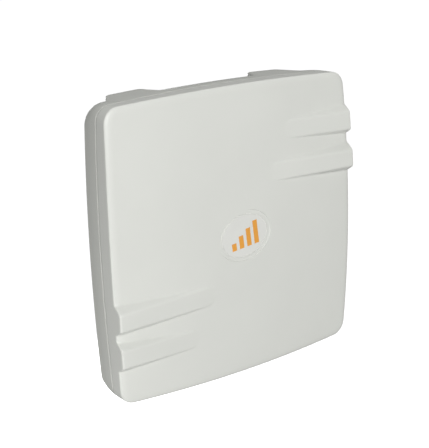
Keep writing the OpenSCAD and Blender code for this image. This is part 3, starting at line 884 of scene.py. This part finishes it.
def body_of(node):
    """The body that moves a CAD node."""
    return next(b for b, nodes in frame["record"]["behaviour"]["bodies"].items() if node in nodes)


def stand_for(piece, *nodes):
    """A new piece takes the place, body and finish of CAD nodes."""
    piece.data.materials.clear()
    piece.data.materials.append(MATERIALS[SLOTS[nodes[0]]])
    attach(piece, body_of(nodes[0]))
    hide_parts(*nodes)


def dress_cad_nodes():
    """Nodes that keep their CAD shape get their finish."""
    for node, obj in frame["nodes"].items():
        obj.data.materials.clear()
        obj.data.materials.append(MATERIALS[SLOTS[node]])


# ---------- sheet-metal and cast parts ----------


def softened(node, name, width, segments=2):
    """A copy of a CAD node with its edges rounded."""
    source = frame["nodes"][node].data.copy()
    weld = 1e-6
    bm = bmesh.new()
    bm.from_mesh(source)
    bmesh.ops.remove_doubles(bm, verts=bm.verts, dist=weld)
    bmesh.ops.dissolve_limit(bm, angle_limit=math.radians(0.6), verts=bm.verts, edges=bm.edges)
    bm.to_mesh(source)
    bm.free()
    piece = as_piece(name, source, 32, weld)
    bevel = piece.modifiers.new("edges", "BEVEL")
    bevel.width = width
    bevel.segments = segments
    bevel.limit_method = "ANGLE"
    bevel.angle_limit = math.radians(38)
    bevel.harden_normals = True
    bake(piece)
    return piece


# ---------- the hardware ----------


def tilt_hardware():
    """Pivot and lock bolts with their nuts and washers."""
    thick = 1.6 * MM
    sizes = [("pivot", 4 * MM, 13 * MM, 1.25 * MM, 8 * MM), ("lock", 3 * MM, 10 * MM, 1 * MM, 6.2 * MM)]
    for which, radius, across, pitch, washer_r in sizes:
        low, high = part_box(f"{which}_bolt")
        nut_low, nut_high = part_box(f"{which}_nut")
        washer_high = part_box(f"{which}_washers")[1]
        at = ((nut_low.y + nut_high.y) / 2, (nut_low.z + nut_high.z) / 2)
        shank = -washer_high.x
        bolt = hex_bolt(f"{which}_bolt_turned", "x", at, low.x, shank, high.x, across, radius, pitch)
        stand_for(bolt, f"{which}_bolt")
        profile = nut_profile(nut_low.x, nut_high.x, across, radius + NUT_PLAY)
        stand_for(turned(f"{which}_nut_turned", profile, "x", at), f"{which}_nut")
        pair = [turned("washer", washer_profile(a, a + thick, radius + WASHER_PLAY, washer_r), "x", at)
                for a in (washer_high.x - thick, -washer_high.x)]
        stand_for(joined(f"{which}_washers_turned", pair), f"{which}_washers")


def bracket_hardware():
    """Cap screws and washers that hold the panel bracket."""
    low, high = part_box("bracket_screws")
    washer_low, washer_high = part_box("bracket_washers")
    places = bracket_screw_places()
    screws = [socket_screw(x, z, low.y, washer_high.y, high.y) for x, z in places]
    stand_for(joined("bracket_screws_turned", screws), "bracket_screws")
    profile = washer_profile(washer_low.y, washer_high.y, 3 * MM + WASHER_PLAY, 6.2 * MM)
    washers = [turned("washer", profile, "y", p) for p in places]
    stand_for(joined("bracket_washers_turned", washers), "bracket_washers")


def clamp_hardware():
    """U-bolt with threaded legs, and its nuts, spring washers and washers."""
    low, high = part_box("u_bolt")
    rod_r = 4 * MM
    bend_r = high.x - rod_r
    bore = rod_r + WASHER_PLAY
    stand_for(u_bolt(low.y, bend_r, rod_r), "u_bolt")
    nut_low, nut_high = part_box("u_bolt_nuts")
    profile = nut_profile(nut_low.y, nut_high.y, 13 * MM, rod_r + NUT_PLAY)
    nuts = [turned("nut", profile, "y", (s * bend_r, 0)) for s in (-1, 1)]
    stand_for(joined("u_bolt_nuts_turned", nuts), "u_bolt_nuts")
    ring_low, ring_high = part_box("u_bolt_spring_washers")
    rings = [spring_ring(ring_low.y, ring_high.y, s * bend_r, bore, 6.8 * MM) for s in (-1, 1)]
    stand_for(joined("u_bolt_spring_washers_split", rings), "u_bolt_spring_washers")
    flat_low, flat_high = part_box("u_bolt_washers")
    profile = washer_profile(flat_low.y, flat_high.y, bore, 8 * MM)
    flats = [turned("washer", profile, "y", (s * bend_r, 0)) for s in (-1, 1)]
    stand_for(joined("u_bolt_washers_turned", flats), "u_bolt_washers")


def u_bolt(leg_end, bend_r, rod_r):
    """A round rod bent into a U, with rolled threads on its legs."""
    count = 36
    angle = np.arange(count) / count * 2 * math.pi
    pitch = 1.25 * MM
    thread_end = -24 * MM
    chamfer = 0.9 * MM
    threads = np.arange(leg_end, thread_end, pitch / THREAD_PARTS)
    leg = np.concatenate([threads, np.linspace(thread_end, 0, 8)])
    bend = np.linspace(0, math.pi, 73)[1:-1]
    stations = [(bend_r, y, 0.0) for y in leg]
    stations += [(bend_r * math.cos(a), bend_r * math.sin(a), a) for a in bend]
    stations += [(-bend_r, y, math.pi) for y in leg[::-1]]
    shell = Shell()
    rings = []
    for x, y, turn in stations:
        radius = np.full(count, rod_r)
        if y < thread_end:
            fade = min(1, (thread_end - y) / pitch)
            radius = radius - pitch * THREAD_DEPTH * fade * thread_groove(y, angle, pitch)
            radius = np.minimum(radius, rod_r - max(0, chamfer - (y - leg_end)) * 0.8)
        out = radius * np.cos(angle)
        rings.append(shell.add(x + out * math.cos(turn), y + out * math.sin(turn), radius * np.sin(angle)))
    for a, b in zip(rings[:-1], rings[1:]):
        shell.join(a, b)
    shell.cap(rings[0], (bend_r, leg_end, 0))
    shell.cap(rings[-1], (-bend_r, leg_end, 0))
    return shell.build("u_bolt_rod", sharp=40)


def spring_ring(low, high, x, bore, outer):
    """Split spring washer: one turn, open by a narrow cut, its ends slightly out of line."""
    thick = (high - low) * 0.8
    soft = 0.25 * MM
    shape = [(bore + soft, 0), (outer - soft, 0), (outer, soft), (outer, thick - soft),
             (outer - soft, thick), (bore + soft, thick), (bore, thick - soft), (bore, soft)]
    shell = Shell()
    rings = []
    for a in np.radians(np.linspace(6, 354, 60)):
        lift = (high - low - thick) * a / (2 * math.pi)
        rings.append(shell.add(np.array([x + r * math.sin(a) for r, _ in shape]),
                               np.array([low + lift + d for _, d in shape]),
                               np.array([r * math.cos(a) for r, _ in shape])))
    for a, b in zip(rings[:-1], rings[1:]):
        shell.join(a, b)
    for end in (rings[0], rings[-1]):
        shell.faces.append(end.tolist())
    return shell.build("spring_ring", sharp=32)


def socket_hardware():
    """The cable socket: chamfered hexagon flange, threaded barrel, bore, and its sealing ring."""
    low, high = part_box("socket_body")
    flange = BACK + 1 * MM
    face = flange + 3 * MM
    across = 20 * MM
    rim = 0.97
    bore, hole = 4.6 * MM, 3.4 * MM
    bore_floor = high.y - 9 * MM
    barrel_r, barrel_pitch, relief_r = 7.94 * MM, 1.058 * MM, 7.3 * MM
    neck_r = 8 * MM
    soft = 0.4 * MM
    points = [(low.y, hole), (low.y, neck_r - soft), (low.y + soft, neck_r), (flange, neck_r)]
    points += hex_chamfer(flange, 1, across, rim)
    points += hex_chamfer(face, -1, across, rim)[::-1]
    points += [(face, relief_r), (face + 0.9 * MM, relief_r)]
    points += threaded(face + 1.2 * MM, high.y - 0.1 * MM, barrel_r, barrel_pitch, 0.5 * MM)
    points += [(high.y, 6.9 * MM), (high.y, bore + soft), (high.y - soft, bore),
               (bore_floor, bore), (bore_floor, hole)]
    stand_for(turned("socket_body_turned", points, "y", (0, SOCKET_Z)), "socket_body")
    ring_low, ring_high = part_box("socket_oring")
    inner, outer = neck_r, 10 * MM
    ring = [(ring_low.y + soft, inner), (ring_low.y, inner + soft), (ring_low.y, outer - soft),
            (ring_low.y + soft * 0.4, outer - soft * 0.15), ((ring_low.y + ring_high.y) / 2, outer),
            (ring_high.y - soft * 0.4, outer - soft * 0.15), (ring_high.y, outer - soft),
            (ring_high.y, inner + soft), (ring_high.y - soft, inner)]
    stand_for(turned("socket_seal_ring", ring, "y", (0, SOCKET_Z)), "socket_oring")


def badge():
    """The badge's oval film, with a rounded edge and a fine groove just inside it."""
    low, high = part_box("badge_disc")
    radius = BADGE_H / 2
    soft = 0.2 * MM
    top = low.y
    groove_floor = top + 0.38 * MM
    points = [(high.y, 0), (high.y, radius), (top + soft, radius)]
    points += [(top + soft * (1 - math.sin(t)), radius - soft * (1 - math.cos(t)))
               for t in np.radians([30, 60, 90])]
    points += [(top, radius - 0.3 * MM), (groove_floor, radius - 0.4 * MM),
               (groove_floor, radius - 0.9 * MM), (top, radius - 1.0 * MM)]
    points += [(top, radius * 0.5), (top, 0)]
    piece = turned("badge_film", points, "y", (0, 0), 160)
    stretch = Matrix.Diagonal((BADGE_W / BADGE_H, 1, 1, 1))
    turn = Matrix.Rotation(-BADGE_TURN, 4, "Y")
    piece.data.transform(Matrix.Translation((BADGE_X, 0, BADGE_Z)) @ turn @ stretch)
    stand_for(piece, "badge_disc")


# ---------- stage ----------


def camera():
    """Looks at the panel from the front and its -X side, a little above it."""
    turn, lift, roll = [math.radians(a) for a in (-36.157, 16.358, -2.104)]
    target = Vector((-24.40, -126.0, 13.02)) * MM
    distance = 1005.79 * MM
    lens, sensor = 90.86, 36
    away = Vector((math.sin(turn) * math.cos(lift), -math.cos(turn) * math.cos(lift), math.sin(lift)))
    right = (-away).cross(Vector((0, 0, 1))).normalized()
    up = right.cross(-away)
    side = right * math.cos(roll) + up * math.sin(roll)
    top = up * math.cos(roll) - right * math.sin(roll)
    data = bpy.data.cameras.new("camera")
    data.sensor_width = sensor
    data.lens = lens
    cam = bpy.data.objects.new("camera", data)
    turned_to = Matrix((side, top, away)).transposed().to_4x4()
    cam.matrix_world = Matrix.Translation(target + away * distance) @ turned_to
    bpy.context.scene.collection.objects.link(cam)
    bpy.context.scene.camera = cam


def softbox(name, place, size, power):
    """A square area light that faces the panel."""
    data = bpy.data.lights.new(name, "AREA")
    data.shape = "SQUARE"
    data.size = size
    data.energy = power
    light = bpy.data.objects.new(name, data)
    light.location = place
    aim = Vector((0, -0.1, 0)) - Vector(place)
    light.rotation_euler = aim.to_track_quat("-Z", "Y").to_euler()
    light.visible_camera = False
    bpy.context.scene.collection.objects.link(light)


def pale_floor():
    """A wide, pale floor that the camera sees, but that neither lights the object nor shows in it."""
    plane = bmesh.new()
    bmesh.ops.create_grid(plane, x_segments=1, y_segments=1, size=60)
    mesh = bpy.data.meshes.new("floor")
    plane.to_mesh(mesh)
    plane.free()
    floor = bpy.data.objects.new("floor", mesh)
    floor.location = (0, 0, -1)
    bpy.context.scene.collection.objects.link(floor)
    g = Graph("floor")
    g.colours(g.noise(2, 2), [(0.3, (0.90, 0.90, 0.90)), (0.7, (0.92, 0.92, 0.92))])
    g.set(Roughness=0.9, Emission_Color=(1, 1, 1, 1), Emission_Strength=0.85)
    mesh.materials.append(g.material)
    floor.visible_diffuse = False
    floor.visible_glossy = False


def surround():
    """White to the camera, but a faint light on the object, twice as strong from below as from above."""
    world = bpy.data.worlds.new("studio")
    world.use_nodes = True
    nodes, links = world.node_tree.nodes, world.node_tree.links
    faint = nodes["Background"]
    faint.inputs["Color"].default_value = (1, 1, 1, 1)
    up = nodes.new("ShaderNodeSeparateXYZ")
    links.new(nodes.new("ShaderNodeTexCoord").outputs["Generated"], up.inputs["Vector"])
    fall = nodes.new("ShaderNodeMapRange")
    fall.inputs["From Min"].default_value = -1
    fall.inputs["From Max"].default_value = 1
    fall.inputs["To Min"].default_value = 0.34
    fall.inputs["To Max"].default_value = 0.17
    links.new(up.outputs["Z"], fall.inputs["Value"])
    links.new(fall.outputs["Result"], faint.inputs["Strength"])
    white = nodes.new("ShaderNodeBackground")
    white.inputs["Color"].default_value = (1, 1, 1, 1)
    white.inputs["Strength"].default_value = 1.0
    path = nodes.new("ShaderNodeLightPath")
    mix = nodes.new("ShaderNodeMixShader")
    links.new(path.outputs["Is Camera Ray"], mix.inputs["Fac"])
    links.new(faint.outputs["Background"], mix.inputs[1])
    links.new(white.outputs["Background"], mix.inputs[2])
    links.new(mix.outputs["Shader"], nodes["World Output"].inputs["Surface"])
    bpy.context.scene.world = world


def studio():
    """Pale floor, white surround and soft lights."""
    pale_floor()
    surround()
    bpy.context.scene.view_settings.view_transform = "Standard"
    softbox("key", place=(-0.86, -2.95, 0.92), size=1.8, power=78)
    softbox("top", place=(0.1, 0.1, 1.5), size=1.0, power=5.8)
    softbox("fill", place=(-0.43, -0.23, -0.19), size=0.25, power=0.36)
    softbox("rear", place=(0.9, 2.1, -0.35), size=1.0, power=14)


# ---------- the object ----------

dress_cad_nodes()
stand_for(front_cover(), "front_cover")
stand_for(rear_housing(), "rear_housing")
badge()
socket_hardware()
bracket_hardware()
tilt_hardware()
clamp_hardware()
stand_for(softened("panel_bracket", "panel_bracket_folded", 0.35 * MM), "panel_bracket")
stand_for(softened("mast_bracket", "mast_bracket_folded", 0.35 * MM), "mast_bracket")
stand_for(softened("mast_saddle", "mast_saddle_cast", 0.8 * MM, 3), "mast_saddle")
stand_for(softened("cover_screws", "cover_screws_headed", 0.2 * MM), "cover_screws")
studio()
camera()
